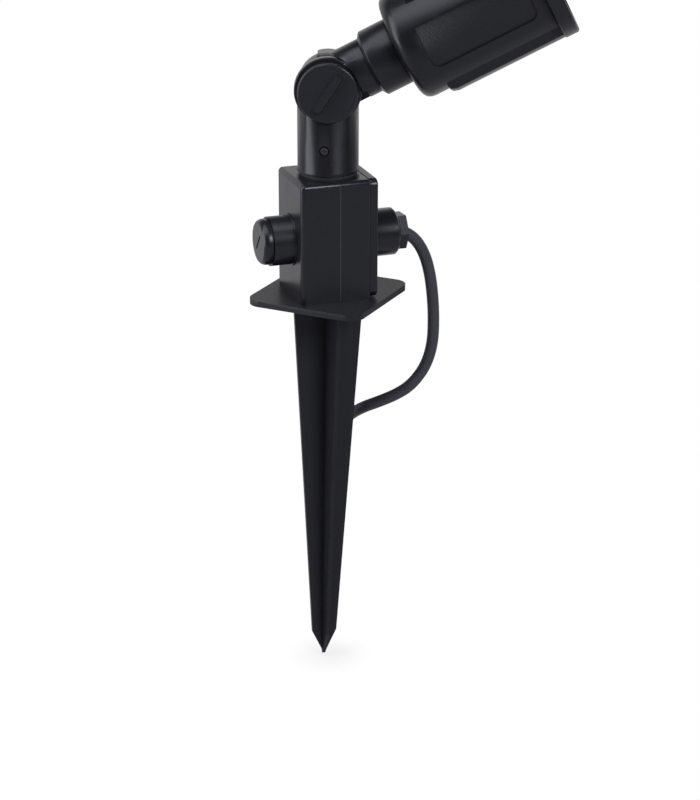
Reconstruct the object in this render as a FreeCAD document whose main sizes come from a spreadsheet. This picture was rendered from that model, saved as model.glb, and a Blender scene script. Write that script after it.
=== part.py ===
"""Garden spike spotlight: ground spike, junction box, swivelling stem, lockable knuckle and lamp head.

Frame: millimetres, +Z up. The origin is on the stem's axis at the underside of the ground plate, which is
soil level in use. X runs from the blind plug to the cable gland, and -Y is the front of the junction box.
"""
import FreeCAD
import Part
import Sketcher
import math
import os
import re

V = FreeCAD.Vector
X_AXIS, Y_AXIS, Z_AXIS = V(1, 0, 0), V(0, 1, 0), V(0, 0, 1)

# Driving dimensions, in millimetres and degrees. Every key becomes an alias in the sheet.
SIZES = {
    # ground plate and spike
    "plate_side": 82.3, "plate_thick": 4.1, "plate_corner": 10.0,
    "blade_thick": 2.6, "blade_top": 24.4, "blade_low": 8.7, "blade_length": 247.5, "spike_length": 265.5,
    "spike_lean": 0.75, "foot_x": 15.0, "foot_y": 17.5, "foot_top": 12.0, "foot_radius": 4.2,
    # junction box and its cover
    "box_left": 26.7, "box_right": 19.5, "box_half": 25.7, "box_top": 85.1, "box_wall": 2.6,
    "box_corner": 3.0, "cover_gap": 0.8, "cover_out": 25.9, "cover_lift": 0.9, "cover_corner": 4.5,
    "gland_height": 41.0, "plug_height": 42.2, "port_bore": 10.3,
    "plug_boss": 16.3, "plug_boss_end": 41.5, "plug_flange": 15.2, "plug_face": 13.8, "plug_end": 48.2,
    "slot_length": 13.8, "slot_width": 1.6, "slot_turn": 37.4,
    "gland_boss": 15.8, "gland_boss_end": 46.0, "gland_throat": 7.2, "seat": 36.0,
    "nut_flats": 22.4, "nut_end": 52.5, "nut_turn": 26.6, "cable_radius": 4.0, "cord_start": 41.5,
    "spigot_radius": 16.8, "spigot_bore": 10.0, "spigot_top": 112.0,
    "post_radius": 3.7, "post_y": 20.2, "post_inset": 6.6, "post_depth": 14.0,
    # stem and knuckle
    "swivel_rest": -19.1, "stem_radius": 20.0, "stem_wall": 2.9, "stem_foot": 87.6, "stem_skirt": 20.4,
    "pivot_height": 142.7, "ear_radius": 21.8, "ear_front": 14.5, "ear_core": 19.6, "flange_back": 9.3,
    "ear_gap": 0.3, "saddle_drop": 19.8,
    "stem_roof": 117.5, "bolt_play": 0.06, "wire_ring": 9.5, "wire_hole": 3.2,
    "set_screw_height": 104.6, "set_screw_turn": -6.4,
    "knob_radius": 19.5, "knob_front": 22.3, "knob_edge": 1.2, "grip_length": 27.0, "grip_base": 6.2,
    "grip_top": 4.4, "grip_height": 3.0, "grip_turn": -57.0, "bolt_radius": 2.95, "insert_radius": 4.6,
    # lamp head, measured along its axis from the pivot
    "head_rest": 27.4, "neck_radius": 18.6, "rear_ear": 19.0, "rear_ear_back": 18.6, "neck_end": 30.5,
    "notch_front": 20.3, "notch_wide": 22.2, "neck_bore": 13.2,
    "hood_inside": 19.9, "hood_back": 12.0, "hood_angle": 80.6,
    "collar_radius": 22.2, "collar_start": 33.0, "collar_end": 51.5, "collar_bore": 9.0,
    "body_radius": 36.3, "body_end": 150.0, "body_wall": 2.8, "body_inside": 57.0,
    "rail_radius": 40.1, "rail_start": 70.0, "rail_top_angle": 31.0, "rail_foot_angle": 38.0,
    "panel_start": 68.8, "panel_end": 142.0, "panel_half": 14.8, "panel_depth": 1.6, "panel_corner": 6.0,
    "bezel_end": 160.0, "bezel_radius": 40.8, "bezel_opening": 31.0, "glass_radius": 34.0, "screw_circle": 36.6,
    "glass_place": 152.4, "glass_thick": 4.0, "spreader_place": 106.0, "spreader_thick": 6.0,
    "board_thick": 1.6, "emitter_radius": 9.0, "emitter_thick": 1.4, "driver_length": 42.0,
    "lead_radius": 1.8,
    # supply cord put away in a coil behind the spike
    "turn_radius": 42.0, "turn_pitch": 8.7, "coil_depth": 75.0, "coil_height": -74.0, "coil_side": 12.6,
}
COIL_TURNS = 3              # from the front of the coil round to its front again
COIL_ENTRY = 60.0           # degrees of the first turn that are left out, where the cord joins it

doc = FreeCAD.newDocument("garden_spike_spotlight")
sheet = doc.addObject("Spreadsheet::Sheet", "Sizes")
for row, (alias, value) in enumerate(SIZES.items(), start=1):
    sheet.set("A%d" % row, alias)
    sheet.set("B%d" % row, str(value))
    sheet.setAlias("B%d" % row, alias)
doc.recompute()

WORDS = re.compile(r"\b(" + "|".join(sorted(SIZES, key=len, reverse=True)) + r")\b")


# ---------------------------------------------------------------- helpers

def number(text):
    """The value of an expression of the sheet's sizes."""
    return float(sheet.evalExpression(str(text)))


def bound(text):
    """An expression of aliases, written with the sheet's name before each."""
    return WORDS.sub(r"Sizes.\1", str(text))


def bind(thing, **sizes):
    for name, text in sizes.items():
        thing.setExpression(name, bound(text))
    return thing


def at(thing, place, turn=None):
    """Turn a primitive and bind its base to expressions."""
    if turn:
        thing.Placement = FreeCAD.Placement(V(0, 0, 0), turn)
    for letter, text in zip("xyz", place):
        thing.setExpression("Placement.Base." + letter, bound(text))
    return thing


def placed(thing, placement):
    """Give a primitive a computed placement instead of the one its expressions hold."""
    for letter in "xyz":
        thing.setExpression("Placement.Base." + letter, None)
    thing.Placement = placement
    return thing


ALONG_X = FreeCAD.Rotation(Y_AXIS, 90)         # takes a primitive's +Z to +X
BACK_X = FreeCAD.Rotation(Y_AXIS, -90)         # +Z to -X
ALONG_Y = FreeCAD.Rotation(X_AXIS, -90)        # +Z to +Y
BACK_Y = FreeCAD.Rotation(X_AXIS, 90)          # +Z to -Y
DOWN = FreeCAD.Rotation(X_AXIS, 180)


def cylinder(name, radius, height, place=(0, 0, 0), turn=None):
    solid = bind(doc.addObject("Part::Cylinder", name), Radius=radius, Height=height)
    return at(solid, place, turn)


def cone(name, low, high, height, place=(0, 0, 0), turn=None):
    solid = bind(doc.addObject("Part::Cone", name), Radius1=low, Radius2=high, Height=height)
    return at(solid, place, turn)


def block(name, length, width, height, place=(0, 0, 0), turn=None):
    solid = bind(doc.addObject("Part::Box", name), Length=length, Width=width, Height=height)
    return at(solid, place, turn)


def hexagon(name, across_flats, height, place, turn):
    solid = doc.addObject("Part::Prism", name)
    solid.Polygon = 6
    bind(solid, Circumradius="(%s) / sqrt(3)" % across_flats, Height=height)
    return at(solid, place, turn)


def fuse(name, *solids):
    result = doc.addObject("Part::MultiFuse", name)
    result.Shapes = list(solids)
    result.Refine = True
    return result


def common(name, *solids):
    result = doc.addObject("Part::MultiCommon", name)
    result.Shapes = list(solids)
    return result


def cut(name, base, *tools):
    """The base without the tools."""
    result = doc.addObject("Part::Cut", name)
    result.Base = base
    result.Tool = tools[0] if len(tools) == 1 else fuse(name + "_tools", *tools)
    return result


def ring(name, outer, inner, height, place=(0, 0, 0), turn=None):
    """A flat ring: an outer cylinder without an inner one."""
    hole = cylinder(name + "_hole", inner, height, place, turn)
    return cut(name, cylinder(name + "_disc", outer, height, place, turn), hole)


def rounded(name, base, radius, chosen):
    """Round the base's edges that the test 'chosen' accepts."""
    doc.recompute()
    result = doc.addObject("Part::Fillet", name)
    result.Base = base
    edges = [i for i, edge in enumerate(base.Shape.Edges, start=1) if chosen(edge)]
    result.Edges = [(i, number(radius), number(radius)) for i in edges]
    return result


def is_line_along(axis):
    def test(edge):
        ends = [vertex.Point for vertex in edge.Vertexes]
        return len(ends) == 2 and (ends[1] - ends[0]).cross(axis).Length < 1e-6
    return test


def outline(body, name, plane, points):
    """A closed sketch through points whose coordinates are expressions of the sheet's sizes."""
    sketch = body.newObject("Sketcher::SketchObject", name)
    planes = [f for f in body.Origin.OriginFeatures if f.Role == plane + "_Plane"]
    sketch.AttachmentSupport = [(planes[0], "")]
    sketch.MapMode = "FlatFace"
    values = [tuple(number(text) for text in point) for point in points]
    for i, start in enumerate(values):
        end = values[(i + 1) % len(values)]
        sketch.addGeometry(Part.LineSegment(V(*start, 0), V(*end, 0)), False)
    for i, point in enumerate(points):
        sketch.addConstraint(Sketcher.Constraint("Coincident", (i - 1) % len(points), 2, i, 1))
        for kind, text, value in zip(("DistanceX", "DistanceY"), point, values[i]):
            index = sketch.addConstraint(Sketcher.Constraint(kind, -1, 1, i, 1, value))
            sketch.setExpression("Constraints[%d]" % index, bound(text))
    return sketch


def turned(name, points, axis="X"):
    """A solid of revolution about X (points are along, radius) or about Z (points are radius, height)."""
    body = doc.addObject("PartDesign::Body", name)
    plane, line = ("XY", "H_Axis") if axis == "X" else ("XZ", "V_Axis")
    sketch = outline(body, name + "_profile", plane, points)
    revolution = body.newObject("PartDesign::Revolution", name + "_turn")
    revolution.Profile = sketch
    revolution.ReferenceAxis = (sketch, [line])
    revolution.Angle = 360
    return body


def prism(name, plane, points, length):
    """An outline on one of the body's planes, padded to both sides alike."""
    body = doc.addObject("PartDesign::Body", name)
    pad = body.newObject("PartDesign::Pad", name + "_pad")
    pad.Profile = outline(body, name + "_profile", plane, points)
    pad.Midplane = True
    bind(pad, Length=length)
    return body


def pieces(name, shapes):
    """One node that holds alike solids."""
    group = doc.addObject("Part::Feature", name)
    group.Shape = Part.makeCompound(shapes)
    return group


def held(name, thing):
    """A primitive in a holder that can be placed in another frame."""
    holder = doc.addObject("Part::Compound", name)
    holder.Links = [thing]
    return holder


def moved(shape, place, turn=None):
    copy = shape.copy()
    copy.Placement = FreeCAD.Placement(V(*place), turn or FreeCAD.Rotation()).multiply(shape.Placement)
    return copy


nodes = []                  # finished sub-parts, in the order they are written


def node(thing, frame=None):
    """Label a finished sub-part with its node's name and put it in its group's frame."""
    thing.Label = thing.Name
    if frame:
        thing.Placement = frame
    nodes.append(thing)
    return thing


# The stem's group turns about Z on the box, and the head's group tilts about the pivot.
stem_frame = FreeCAD.Placement(V(0, 0, 0), FreeCAD.Rotation(Z_AXIS, number("swivel_rest")))
to_pivot = FreeCAD.Placement(V(0, 0, number("pivot_height")), FreeCAD.Rotation())
tilt = FreeCAD.Placement(V(0, 0, 0), FreeCAD.Rotation(Y_AXIS, -number("head_rest")))
pivot_frame = stem_frame.multiply(to_pivot)
head_frame = pivot_frame.multiply(tilt)


def screw(name, thread, length, head, head_height, recess=0.5):
    """A cross-recess pan-head screw: its head sits on Z 0 and its thread points down."""
    shank = cylinder(name + "_shank", thread, length, (0, 0, "-(%s)" % length))
    cap = cone(name + "_cap", head, "%s * 0.8" % head, head_height)
    bars = []
    for i, (long_side, short_side) in enumerate(((1.2, 0.26), (0.26, 1.2))):
        size_x, size_y = "%s * %s" % (head, long_side), "%s * %s" % (head, short_side)
        depth = "%s * %s" % (head_height, recess)
        corner = ("-(%s) / 2" % size_x, "-(%s) / 2" % size_y, "%s - %s" % (head_height, depth))
        bars.append(block("%s_recess_%d" % (name, i), size_x, size_y, depth, corner))
    solid = cut(name, fuse(name + "_blank", shank, cap), *bars)
    doc.recompute()
    return solid.Shape


# ---------------------------------------------------------------- ground spike

def ground_spike():
    """Square plate on a cross-shaped spike of two tapered blades, with a shoulder above the point."""
    square = block("plate_square", "plate_side", "plate_side", "plate_thick",
                   ("-plate_side / 2", "-plate_side / 2", 0))
    plate = rounded("plate", square, "plate_corner", is_line_along(Z_AXIS))
    plate.Placement = FreeCAD.Placement(V(0, 0, 0), FreeCAD.Rotation(Z_AXIS, 45))
    points = [("-blade_top", 1), ("blade_top", 1), ("blade_top", 0), ("blade_low", "-blade_length"),
              (0, "-spike_length"), ("-blade_low", "-blade_length"), ("-blade_top", 0)]
    blades = fuse("blades", prism("side_blades", "XZ", points, "blade_thick"),
                  prism("front_blades", "YZ", points, "blade_thick"))
    lean = FreeCAD.Rotation(V(*[c for c in stem_frame.Rotation.multVec(Y_AXIS)]), number("spike_lean"))
    blades.Placement = FreeCAD.Placement(V(0, 0, 0), lean)
    holes = [cylinder("foot_hole_%d" % i, 2.2, "plate_thick", (x, y, 0))
             for i, (x, y) in enumerate(foot_places())]
    lead_in = cylinder("drain_hole", 2.0, "plate_thick", (9, 9, 0))
    return cut("ground_spike", fuse("spike_blank", plate, blades), lead_in, *holes)


def foot_places():
    """The four screws that hold the box to the plate."""
    x, y = "foot_x", "foot_y"
    return [(x, y), ("-" + x, y), ("-" + x, "-" + y), (x, "-" + y)]


def box_screw_places():
    """The four cover screws, as Y and Z."""
    low, high = "plate_thick + post_inset", "box_top - post_inset"
    return [(side + "post_y", z) for side in ("", "-") for z in (low, high)]


# ---------------------------------------------------------------- junction box

def junction_box():
    """Moulded box, open on the gland side, with the stem's spigot on its roof and the plug's boss."""
    height = "box_top - plate_thick"
    raw = block("box_raw", "box_left + box_right", "2 * box_half", height,
                ("-box_left", "-box_half", "plate_thick"))
    top, left, right = number("box_top"), -number("box_left"), number("box_right")

    def soft(edge):
        """Upright edges of the closed side and the roof's edges, but not those of the open side."""
        box = edge.BoundBox
        return box.ZMax > number("plate_thick") + 1 and box.XMin < right - 1 and (
            box.XMax < left + 1 or box.ZMin > top - 1)

    shell = rounded("box_outside", raw, "box_corner", soft)
    wall = "box_wall"
    room = block("box_room", "box_left + box_right", "2 * (box_half - box_wall)",
                 "box_top - plate_thick - 2 * box_wall",
                 ("-box_left + box_wall", "-box_half + box_wall", "plate_thick + box_wall"))
    walls = cut("box_walls", shell, room)
    posts = [cylinder("box_post_%d" % i, "post_radius", "post_depth",
                      ("box_right - post_depth", y, z), ALONG_X) for i, (y, z) in enumerate(box_screw_places())]
    webs = [block("box_web_%d" % i, "post_depth", "box_half - post_y", "1.6",
                  ("box_right - post_depth", y if not y.startswith("-") else "-box_half", z + " - 0.8"))
            for i, (y, z) in enumerate(box_screw_places())]
    feet = [cylinder("box_foot_%d" % i, "foot_radius", "foot_top - plate_thick", (x, y, "plate_thick"))
            for i, (x, y) in enumerate(foot_places())]
    spigot = cylinder("spigot", "spigot_radius", "spigot_top - box_top + box_wall / 2",
                      (0, 0, "box_top - box_wall / 2"))
    boss = cylinder("plug_boss_tube", "plug_boss", "plug_boss_end - box_left + 1",
                    ("-box_left + 1", 0, "plug_height"), BACK_X)
    root = cylinder("plug_boss_root", "plug_boss + 1.1", "1.9", ("-box_left + 1", 0, "plug_height"), BACK_X)
    solid = fuse("box_blank", walls, spigot, boss, root, *posts, *webs, *feet)
    bores = [cylinder("spigot_way", "spigot_bore", "spigot_top", (0, 0, "box_top - 2 * box_wall")),
             cylinder("plug_way", "port_bore", "plug_boss_end", ("-box_left + 2 * " + wall, 0, "plug_height"),
                      BACK_X),
             ring("spigot_groove", "spigot_radius + 1", "spigot_radius - 0.9", 5,
                  (0, 0, "set_screw_height - 2.5"))]
    bores += [cylinder("post_pilot_%d" % i, 1.25, "post_depth", ("box_right - post_depth + 2", y, z), ALONG_X)
              for i, (y, z) in enumerate(box_screw_places())]
    bores += [cylinder("foot_pilot_%d" % i, 1.5, 5, (x, y, "plate_thick"))
              for i, (x, y) in enumerate(foot_places())]
    return cut("junction_box", solid, *bores)


def cover_gasket():
    """Flat frame of rubber between the box's rim and its cover."""
    inset = 0.5
    outer = block("gasket_out", "cover_gap", "2 * (box_half - %s)" % inset,
                  "box_top - plate_thick - 2 * %s" % inset,
                  ("box_right", "-box_half + %s" % inset, "plate_thick + %s" % inset))
    inner = block("gasket_in", "cover_gap", "2 * (box_half - box_wall)",
                  "box_top - plate_thick - 2 * box_wall",
                  ("box_right", "-box_half + box_wall", "plate_thick + box_wall"))
    return cut("cover_gasket", outer, inner)


def box_cover():
    """Cover plate of the gland side, with the gland's threaded boss and four counterbored screw holes."""
    place = "box_right + cover_gap"
    thick = "cover_out - box_right - cover_gap"
    raw = block("cover_raw", thick, "2 * box_half", "box_top - plate_thick - cover_lift",
                (place, "-box_half", "plate_thick + cover_lift"))
    slab = rounded("cover_slab", raw, "cover_corner", is_line_along(X_AXIS))
    outside = number("cover_out")
    soft = rounded("cover_soft", slab, "1.2", lambda edge: edge.BoundBox.XMin > outside - 1e-6)
    boss = cylinder("gland_boss_tube", "gland_boss", "gland_boss_end - cover_out - 1.6",
                    ("cover_out", 0, "gland_height"), ALONG_X)
    tip = cone("gland_boss_tip", "gland_boss", "gland_boss - 1.6", "1.6",
               ("gland_boss_end - 1.6", 0, "gland_height"), ALONG_X)
    solid = fuse("cover_blank", soft, boss, tip)
    ways = [cylinder("throat", "gland_throat", "seat", (place + " - 1", 0, "gland_height"), ALONG_X),
            cylinder("nut_thread", 9.9, "gland_boss_end", ("seat", 0, "gland_height"), ALONG_X)]
    for i, (y, z) in enumerate(box_screw_places()):
        ways.append(cylinder("cover_hole_%d" % i, 1.75, 8, (place + " - 1", y, z), ALONG_X))
        ways.append(cylinder("cover_sink_%d" % i, 3.4, 4, ("cover_out - 2.8", y, z), ALONG_X))
    return cut("box_cover", solid, *ways)


def blind_plug():
    """Threaded plug of the unused cable entry, with a coin slot across its rounded head."""
    profile = [("-box_left - 1", 0), ("-box_left - 1", "port_bore - 0.35"),
               ("-plug_boss_end - 0.8", "port_bore - 0.35"), ("-plug_boss_end - 0.8", "plug_flange"),
               ("-plug_boss_end - 3.6", "plug_flange"), ("-plug_end + 1", "plug_face + 0.5"),
               ("-plug_end", "plug_face - 0.8"), ("-plug_end", 0)]
    body = turned("plug_turned", profile)
    hollow = cylinder("plug_hollow", "port_bore - 2.6", 12, ("-box_left - 14", 0, 0), ALONG_X)
    slot_turn = FreeCAD.Rotation(X_AXIS, number("slot_turn"))
    corner = V(-number("plug_end") - 2.2, -number("slot_width") / 2, -number("slot_length") / 2)
    slot = placed(block("plug_slot", 4, "slot_width", "slot_length"),
                  FreeCAD.Placement(slot_turn.multVec(corner), slot_turn))
    return at(cut("blind_plug", body, hollow, slot), (0, 0, "plug_height"))


def gland_nut():
    """Hexagon compression nut: its threaded shank presses the seal, and its bore flares for the cable."""
    height = "gland_height"
    head = hexagon("nut_hex", "nut_flats", "nut_end - gland_boss_end - 0.3", ("gland_boss_end + 0.3", 0, height),
                   FreeCAD.Rotation(X_AXIS, number("nut_turn")).multiply(ALONG_X))
    round_off = cone("nut_round", "nut_flats / 2 + 9.2", "nut_flats / 2 + 1.2", "nut_end - gland_boss_end + 0.2",
                     ("gland_boss_end", 0, height), ALONG_X)
    shank = cylinder("nut_shank", 9.7, 4.4, ("gland_boss_end - 4", 0, height), ALONG_X)
    flare = cone("nut_flare", "cable_radius + 0.5", "cable_radius + 4.0", "nut_end - cord_start + 0.2",
                 ("cord_start", 0, height), ALONG_X)
    bore = cylinder("nut_bore", "cable_radius + 0.2", 10, ("cord_start - 9", 0, height), ALONG_X)
    return cut("gland_nut", fuse("nut_blank", common("nut_head", head, round_off), shank), flare, bore)


POLES = (-9.5, -0.5, 8.5)      # the terminals, along X


def terminal_block():
    """Three-pole terminal block on the box's back wall, a bore along each pole and a screw well above."""
    poles = range(len(POLES))
    body = block("terminal_body", 27, 16, 15, (-14, "box_half - box_wall - 16", 24))
    wires = [cylinder("terminal_way_%d" % i, 1.9, 18, (POLES[i], "box_half - box_wall - 8", 22))
             for i in poles]
    wells = [cylinder("terminal_well_%d" % i, 2.0, 9, (POLES[i], "box_half - box_wall - 17", 31.5), ALONG_Y)
             for i in poles]
    return cut("terminal_block", body, *wires, *wells)


def terminal_screws():
    """One clamping screw in each pole."""
    shape = screw("terminal_screw", 1.3, 2.2, 2.0, 1.6)
    y = number("box_half - box_wall - 16") + 4.5
    return pieces("terminal_screws", [moved(shape, (pole, y, 31.5), BACK_Y) for pole in POLES])


def base_pieces():
    node(ground_spike())
    node(junction_box())
    node(cover_gasket())
    node(box_cover())
    node(blind_plug())
    node(ring("plug_seal", "plug_flange - 0.8", "port_bore", 0.8, ("-plug_boss_end - 0.8", 0, "plug_height"),
              ALONG_X))
    node(gland_nut())
    node(ring("gland_seal", 9.5, "cable_radius", "gland_boss_end - 4 - seat", ("seat", 0, "gland_height"), ALONG_X))
    node(ring("stem_seal", 18.8, "spigot_radius + 0.1", "stem_foot - box_top - 0.2", (0, 0, "box_top")))
    node(terminal_block())
    node(terminal_screws())
    cover_screw = screw("cover_screw", 1.45, 12, 3.0, 2.0)
    x = number("cover_out") - 2.8
    node(pieces("cover_screws", [moved(cover_screw, (x, number(y), number(z)), ALONG_X)
                                 for y, z in box_screw_places()]))
    foot_screw = screw("foot_screw", 1.7, 8.5, 3.6, 2.4)
    node(pieces("foot_screws", [moved(foot_screw, (number(x), number(y), 0), DOWN) for x, y in foot_places()]))


# ---------------------------------------------------------------- stem and lock knob, in the stem's frame

def stem():
    """Round sleeve on the spigot: its front half rises to the ear, its rear half ends below the head's ear."""
    tube = cylinder("stem_tube", "stem_radius", "pivot_height - stem_foot", (0, 0, "stem_foot"))
    skirt = cylinder("stem_skirt_ring", "stem_skirt", "1.6", (0, 0, "stem_foot"))
    skirt_top = cone("stem_skirt_top", "stem_skirt", "stem_radius", "0.8", (0, 0, "stem_foot + 1.6"))
    behind = block("stem_behind", 100, 100, 100, (-50, "-ear_gap", "pivot_height - saddle_drop"))
    pocket_out = cylinder("knob_pocket", "knob_radius + 0.5", 30, (0, "-ear_front", "pivot_height"), BACK_Y)
    trimmed = cut("stem_trimmed", fuse("stem_round", tube, skirt, skirt_top), behind, pocket_out)
    ear_raw = cylinder("ear_raw", "ear_radius", "ear_front - flange_back", (0, "-flange_back", "pivot_height"),
                       BACK_Y)
    front = -number("ear_front")
    ear = rounded("ear", ear_raw, "1.0", lambda edge: edge.BoundBox.YMax < front + 1e-6)
    core = cylinder("ear_core_disc", "ear_core", "flange_back - ear_gap + 1", (0, "-ear_gap", "pivot_height"),
                    BACK_Y)
    bore = cylinder("stem_bore", "spigot_radius + 0.1", "stem_roof - stem_foot", (0, 0, "stem_foot"))
    lead = cylinder("stem_way", "wire_hole", 53, (0, "-5", "pivot_height - 60"))
    inner_ring = ring("stem_ring", 12.5, 6.5, 9, (0, "-ear_gap", "pivot_height"), BACK_Y)
    bolt = cylinder("stem_bolt_way", "bolt_radius + bolt_play", 40, (0, 10, "pivot_height"), BACK_Y)
    screw_way = placed(cylinder("set_screw_way", 3.4, 30), set_screw_frame(18.6))
    thread_way = placed(cylinder("set_thread_way", 1.9, 30), set_screw_frame(14))
    floor = cylinder("seal_seat", "knob_radius - 1.5", "0.8", (0, "-ear_front + 0.8", "pivot_height"), BACK_Y)
    return cut("stem", fuse("stem_blank", trimmed, ear, core), bore, lead, inner_ring, bolt, screw_way, thread_way,
               floor)


def set_screw_frame(out):
    """A frame on the stem's set screw whose +Z points outward, 'out' from the stem's axis."""
    turn = math.radians(number("set_screw_turn"))
    outward = V(math.sin(turn), -math.cos(turn), 0)
    base = outward * out + V(0, 0, number("set_screw_height"))
    return FreeCAD.Placement(base, FreeCAD.Rotation(Z_AXIS, outward))


def set_screw():
    """Cross-recess screw whose point bears in the spigot's groove."""
    shape = screw("set_screw_shape", 1.8, 2.4, 3.0, 1.5)
    frame = set_screw_frame(18.6)
    return pieces("set_screw", [moved(shape, tuple(frame.Base), frame.Rotation)])


def lock_knob():
    """Round knob with a raised diagonal grip bar and a small dimple beyond the bar's upper end."""
    thick = "knob_front - ear_front - 0.5"
    raw = cylinder("knob_raw", "knob_radius", thick, (0, "-ear_front - 0.5", 0), BACK_Y)
    face = -number("knob_front")
    disc = rounded("knob_disc", raw, "knob_edge", lambda edge: edge.BoundBox.YMax < face + 1e-6)
    bar = prism("grip_bar", "YZ", [("-knob_front + 1", "-grip_base / 2"), ("-knob_front", "-grip_base / 2"),
                                   ("-knob_front - grip_height", "-grip_top / 2"),
                                   ("-knob_front - grip_height", "grip_top / 2"),
                                   ("-knob_front", "grip_base / 2"), ("-knob_front + 1", "grip_base / 2")],
                "grip_length")
    bar.Placement = FreeCAD.Placement(V(0, 0, 0), FreeCAD.Rotation(Y_AXIS, number("grip_turn")))
    dimple_at = number("knob_radius") - 2.9
    angle = math.radians(-number("grip_turn"))
    beyond = V(dimple_at * math.cos(angle), face + 0.6, dimple_at * math.sin(angle))
    dimple = placed(cylinder("knob_dimple", 0.9, 2), FreeCAD.Placement(beyond, BACK_Y))
    socket = cylinder("insert_socket", "insert_radius", "knob_front - ear_front - 2", (0, "-ear_front", 0), BACK_Y)
    recess = ring("knob_recess", 16.5, 8.0, 3.4, (0, "-ear_front", 0), BACK_Y)
    return cut("lock_knob", fuse("knob_blank", disc, bar), dimple, socket, recess)


def stem_pieces():
    node(stem(), stem_frame)
    node(set_screw(), stem_frame)
    knob = lock_knob()
    node(knob, pivot_frame)
    node(ring("knob_insert", "insert_radius", "bolt_radius + 0.05", "knob_front - ear_front - 2.6",
              (0, "-ear_front - 0.6", 0), BACK_Y), pivot_frame)
    node(ring("knob_washer", 7.4, "bolt_radius + 0.3", 1.25, (0, "-ear_front + 0.75", 0), BACK_Y), pivot_frame)


# ---------------------------------------------------------------- lamp head, in the head's frame

def knuckle_neck():
    """Rear ear and tubular neck; its front half is cut back around the stem's ear, and a hood covers that."""
    back = "rear_ear_back"
    ear_raw = cylinder("rear_ear_raw", "rear_ear", "rear_ear_back - ear_gap", (0, "ear_gap", 0), ALONG_Y)
    rear = number(back)
    ear = rounded("rear_ear_disc", ear_raw, "3.0", lambda edge: edge.BoundBox.YMin > rear - 1e-6)
    tube = cylinder("neck_tube", "neck_radius", "neck_end", (0, 0, 0), ALONG_X)
    reach = "ear_gap + ear_front + 0.4"
    notch = fuse("neck_notch",
                 cylinder("notch_core", "hood_inside", reach, (0, "ear_gap", 0), BACK_Y),
                 cylinder("notch_flange", "notch_wide", "ear_front - flange_back + 0.7",
                          (0, "-flange_back + 0.3", 0), BACK_Y),
                 block("notch_low", "2 * notch_wide", reach, 40, ("-notch_wide", "-ear_front - 0.4", "-40")),
                 cylinder("notch_knob", "notch_front", 40, (0, "-ear_front", 0), BACK_Y),
                 block("notch_knob_low", "2 * notch_front", 40, 40, ("-notch_front", "-40 - ear_front", "-40")),
                 block("notch_back", 40, 60, 80, (-40, "-60 + ear_gap", -40)))
    keep = cut("neck_cut", tube, notch, block("neck_stub", 40, 60, 80, (-40, "ear_gap", -40)))
    hood_raw = bind(cylinder("hood_raw", "ear_radius", "flange_back - 0.3 + hood_back", (0, "hood_back", 0), BACK_Y),
                    Angle="hood_angle * 1 deg")
    hood = cut("hood", hood_raw, cylinder("hood_way", "hood_inside", "flange_back + ear_gap",
                                          (0, "ear_gap", 0), BACK_Y))
    bore = cylinder("neck_bore_way", "neck_bore", "neck_end - notch_wide - 2.6", ("notch_wide + 2.6", 0, 0),
                    ALONG_X)
    bolt = cylinder("rear_bolt_way", "bolt_radius + 0.02", 30, (0, 0, 0), ALONG_Y)
    head_seat = hexagon("bolt_head_seat", 10, 12, (0, "rear_ear_back - 4.4", 0), ALONG_Y)
    chamber = ring("wire_chamber", 12.5, 6.5, 7, (0, "ear_gap", 0), ALONG_Y)
    way = block("wire_way", "neck_end - 9", 6.4, 7.2, (9, 1.0, -3.6))
    return cut("knuckle_neck", fuse("neck_blank", keep, ear, hood), bore, bolt, head_seat, chamber, way)


def pivot_bolt():
    """Hexagon bolt held in the rear ear; its thread reaches the knob's insert."""
    shank = cylinder("bolt_shank", "bolt_radius", "rear_ear_back - 4.4 + knob_front - 3",
                     (0, "rear_ear_back - 4.4", 0), BACK_Y)
    head = hexagon("bolt_head", 9.9, 3.9, (0, "rear_ear_back - 4.4", 0), ALONG_Y)
    return fuse("pivot_bolt", shank, head)


def rear_collar():
    """Collar between neck and body, with a spigot into each and a bore for the lead."""
    profile = [("neck_end - 4", "collar_bore"), ("neck_end - 4", "neck_bore - 0.05"),
               ("neck_end", "neck_bore - 0.05"), ("neck_end", "neck_radius + 0.2"),
               ("collar_start", "collar_radius"), ("collar_end - 0.4", "collar_radius"),
               ("collar_end - 0.4", 17.4), ("collar_end + 5", 17.4), ("collar_end + 5", "collar_bore")]
    return turned("rear_collar", profile)


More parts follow.
